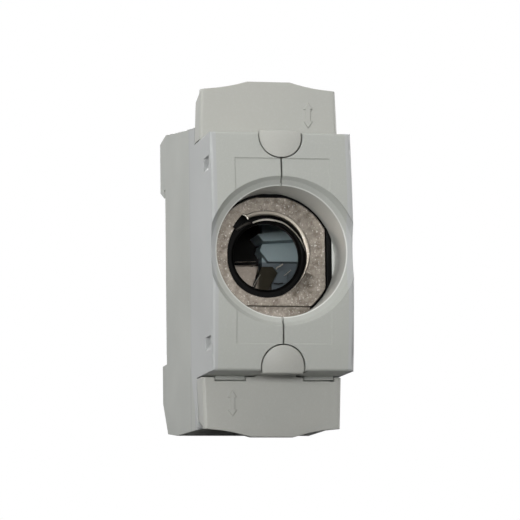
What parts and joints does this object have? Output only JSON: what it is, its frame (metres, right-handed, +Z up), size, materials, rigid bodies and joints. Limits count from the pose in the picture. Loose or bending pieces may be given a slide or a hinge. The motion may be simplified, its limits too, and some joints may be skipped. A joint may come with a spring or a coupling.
{
  "type": "fuse base",
  "caption": "Single-pole screw fuse base for a mounting rail, with a round well, thread plate, box terminals, sliding terminal covers and a sprung rail latch.",
  "frame": {"origin": "on the face that seats on the rail, in the middle of the width, level with the middle of the front block", "axes": "+Z up along the long side, +Y into the wall behind the rail, +X to the right as seen from the front"},
  "size_m": [0.027, 0.0591, 0.0682],
  "materials": {
    "housing_plastic": "fine moulded",
    "cover_plastic": "fine moulded",
    "nickel_plate": "nickel plated",
    "black_plastic": "smooth",
    "contact_metal": "nickel plated",
    "spring_steel": "bright",
    "carrier_plastic": "moulded",
    "zinc_steel": "zinc plated",
    "screw_steel": "zinc plated",
    "latch_plastic": "moulded"
  },
  "bodies": {
    "housing": {"left_shell": "housing_plastic", "right_shell": "housing_plastic", "thread_plate": "nickel_plate", "insulating_ring": "black_plastic", "plate_strip": "nickel_plate", "bottom_contact": "contact_metal", "contact_backing": "spring_steel", "contact_rivets": "contact_metal", "inner_carrier": "carrier_plastic", "rear_screen": "black_plastic", "latch_spring": "spring_steel"},
    "upper_cover": {"upper_cover": "cover_plastic"},
    "lower_cover": {"lower_cover": "cover_plastic"},
    "upper_screw": {"upper_terminal_screw": "screw_steel"},
    "upper_cage": {"upper_clamp_cage": "zinc_steel"},
    "lower_screw": {"lower_terminal_screw": "screw_steel"},
    "lower_cage": {"lower_clamp_cage": "zinc_steel"},
    "latch": {"rail_latch": "latch_plastic"}
  },
  "joints": [
    {"name": "upper_cover_slide", "type": "slide", "parent": "housing", "child": "upper_cover", "axis": [0, 0, 1], "range_m": [0, 0.0065]},
    {"name": "lower_cover_slide", "type": "slide", "parent": "housing", "child": "lower_cover", "axis": [0, 0, -1], "range_m": [0, 0.0065]},
    {"name": "upper_screw_turn", "type": "hinge", "parent": "housing", "child": "upper_screw", "pos_m": [0, -0.0333, 0.0262], "axis": [0, 1, 0], "range_deg": [0, 2700.5]},
    {"name": "upper_cage_slide", "type": "slide", "parent": "housing", "child": "upper_cage", "axis": [0, -1, 0], "range_m": [0, 0.006]},
    {"name": "lower_screw_turn", "type": "hinge", "parent": "housing", "child": "lower_screw", "pos_m": [0, -0.0333, -0.0262], "axis": [0, 1, 0], "range_deg": [0, 2700.5]},
    {"name": "lower_cage_slide", "type": "slide", "parent": "housing", "child": "lower_cage", "axis": [0, -1, 0], "range_m": [0, 0.006]},
    {"name": "rail_latch_slide", "type": "slide", "parent": "housing", "child": "latch", "axis": [0, 0, -1], "range_m": [0, 0.0035], "stiffness_N_per_m": 600, "springref_m": -0.002, "deforming": ["latch_spring"]}
  ],
  "couplings": [
    {"joint": "upper_screw_turn", "follows": "upper_cage_slide", "rad_per_m": 7854},
    {"joint": "lower_screw_turn", "follows": "lower_cage_slide", "rad_per_m": 7854}
  ]
}
